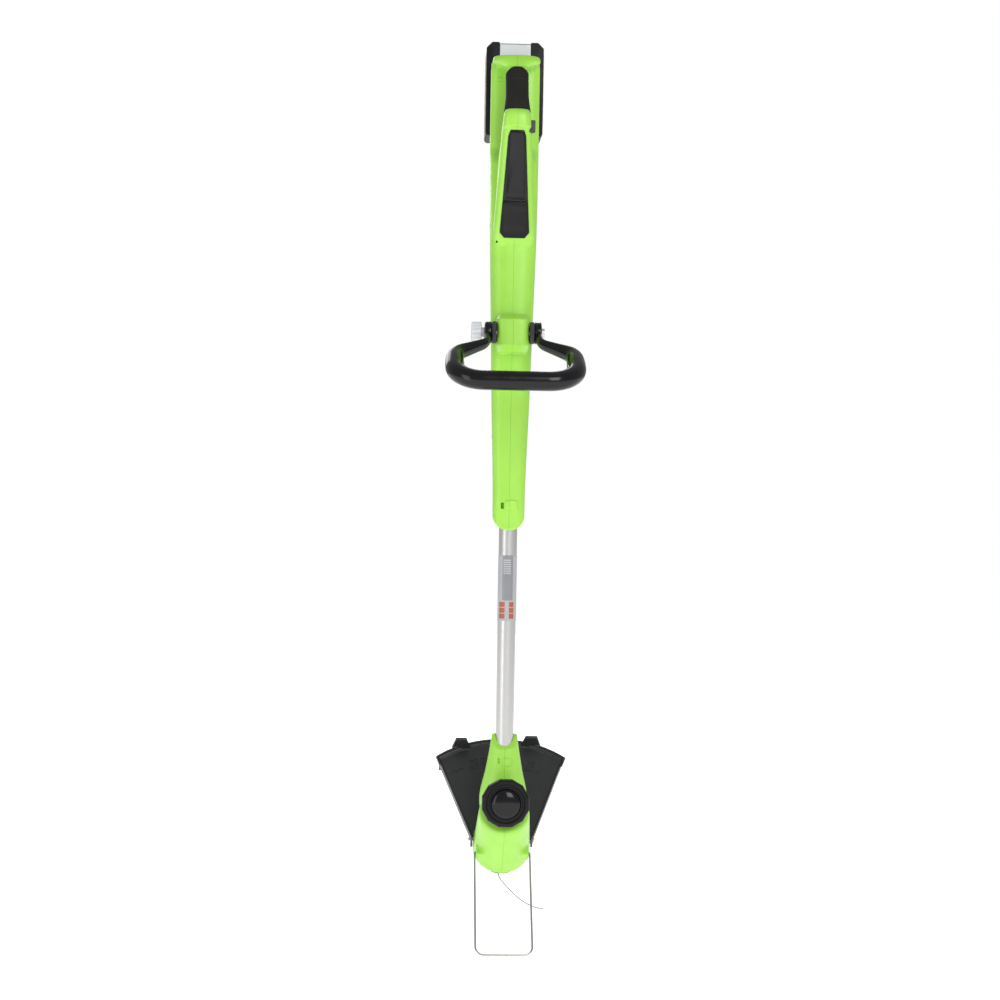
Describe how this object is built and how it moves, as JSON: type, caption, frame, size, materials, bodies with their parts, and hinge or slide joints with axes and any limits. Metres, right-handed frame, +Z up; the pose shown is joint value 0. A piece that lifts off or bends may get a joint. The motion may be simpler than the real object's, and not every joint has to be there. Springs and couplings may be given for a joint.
{
  "type": "string trimmer",
  "caption": "Cordless string trimmer: slide-on battery, looped rear grip with trigger, front D-handle, straight tube, tilted line head with edge wheel, fan guard and flip-out wire guard.",
  "frame": {"origin": "the middle of the rear grip, where a hand or a wall hook holds the trimmer", "axes": "+Z runs up the tube from the cutting head to the operator's end, -Y is the upper side that carries the grip, the front handle and the edge wheel, +X is the side of the lock-out button"},
  "size_m": [0.186, 0.326, 1.2486],
  "materials": {
    "green_plastic": "satin moulded",
    "black_plastic": "fine textured",
    "gloss_black_plastic": "polished",
    "grip_rubber": "matte ribbed",
    "dark_grey_plastic": "textured",
    "light_grey_plastic": "satin",
    "mid_grey_plastic": "satin",
    "steel": "zinc plated",
    "wire_steel": "bright drawn wire",
    "aluminium_tube": "satin anodised",
    "brass": "plain",
    "label_film": "printed film",
    "nylon_line": "extruded",
    "circuit_board": "solder mask",
    "red_insulation": "smooth",
    "black_insulation": "smooth",
    "cell_sleeve": "shrink sleeve"
  },
  "bodies": {
    "frame": {"shaft_tube": "aluminium_tube", "shaft_label": "label_film", "lead_positive": "red_insulation", "lead_negative": "black_insulation", "head_shell_left": "green_plastic", "head_shell_right": "green_plastic", "motor_can": "steel", "shaft_bush": "brass", "wheel_axle": "steel", "guard": "black_plastic", "guard_screw_left": "steel", "guard_screw_right": "steel", "trimming_blade": "steel", "blade_screw_1": "steel", "blade_screw_2": "steel", "housing_left": "green_plastic", "housing_right": "green_plastic", "inlay_panel": "gloss_black_plastic", "inlay_pad": "black_plastic", "grip_sleeve": "grip_rubber", "trigger_pin": "steel", "trigger_spring": "steel", "lockout_spring": "steel", "trigger_switch": "black_plastic", "control_board": "circuit_board", "terminal_block": "brass", "swivel_disc_left": "dark_grey_plastic", "swivel_disc_right": "dark_grey_plastic", "housing_screw_1": "steel", "housing_screw_2": "steel", "housing_screw_3": "steel", "housing_screw_4": "steel", "housing_screw_5": "steel", "housing_screw_6": "steel"},
    "trigger": {"trigger": "black_plastic"},
    "lockout_button": {"lockout_button": "dark_grey_plastic"},
    "battery": {"battery_upper_case": "black_plastic", "battery_lower_case": "black_plastic", "battery_strip_left": "mid_grey_plastic", "battery_strip_right": "light_grey_plastic", "latch_spring": "steel", "battery_cells": "cell_sleeve", "battery_board": "circuit_board"},
    "battery_latch": {"battery_latch": "light_grey_plastic"},
    "front_handle": {"front_handle": "gloss_black_plastic", "handle_bolt": "steel"},
    "handle_knob": {"handle_knob": "light_grey_plastic"},
    "edge_wheel": {"edge_wheel": "black_plastic", "wheel_dome": "gloss_black_plastic"},
    "line_head": {"motor_shaft": "steel", "spool_drum": "black_plastic", "drum_cover": "black_plastic", "line_eyelet": "steel", "cutting_line": "nylon_line", "spool_spring": "steel"},
    "spool": {"spool": "dark_grey_plastic", "line_winding": "nylon_line", "bump_knob": "black_plastic"},
    "wire_guard": {"wire_guard": "wire_steel"}
  },
  "joints": [
    {"name": "trigger_pull", "type": "hinge", "parent": "frame", "child": "trigger", "pos_m": [0, 0, -0.055], "axis": [1, 0, 0], "range_deg": [0, 10], "stiffness_Nm_per_rad": 0.6, "springref_deg": -20.05, "deforming": ["trigger_spring"]},
    {"name": "lockout_press", "type": "slide", "parent": "frame", "child": "lockout_button", "axis": [-1, 0, 0], "range_m": [0, 0.004], "stiffness_N_per_m": 600, "springref_m": -0.003, "deforming": ["lockout_spring"]},
    {"name": "battery_slide", "type": "slide", "parent": "frame", "child": "battery", "axis": [0, 0, 1], "range_m": [0, 0.11]},
    {"name": "battery_latch_press", "type": "slide", "parent": "battery", "child": "battery_latch", "axis": [0, 1, 0], "range_m": [0, 0.003], "stiffness_N_per_m": 900, "springref_m": -0.003, "deforming": ["latch_spring"]},
    {"name": "front_handle_tilt", "type": "hinge", "parent": "frame", "child": "front_handle", "pos_m": [0, 0.012, -0.3185], "axis": [-1, 0, 0], "range_deg": [-48, 60]},
    {"name": "handle_knob_turn", "type": "hinge", "parent": "front_handle", "child": "handle_knob", "pos_m": [0, 0.012, -0.3185], "axis": [1, 0, 0], "continuous": true},
    {"name": "edge_wheel_spin", "type": "hinge", "parent": "frame", "child": "edge_wheel", "pos_m": [0, -0.0025, -0.9546], "axis": [0, -1, 0], "continuous": true},
    {"name": "line_head_spin", "type": "hinge", "parent": "frame", "child": "line_head", "pos_m": [0, 0.076, -1.0169], "axis": [0, -0.766, 0.6428], "continuous": true},
    {"name": "bump_feed_press", "type": "slide", "parent": "line_head", "child": "spool", "axis": [0, -0.766, 0.6428], "range_m": [0, 0.004], "stiffness_N_per_m": 800, "springref_m": -0.004, "deforming": ["spool_spring"]},
    {"name": "wire_guard_flip", "type": "hinge", "parent": "frame", "child": "wire_guard", "pos_m": [0, 0.06263, -1.03439], "axis": [-1, 0, 0], "range_deg": [0, 95]}
  ]
}
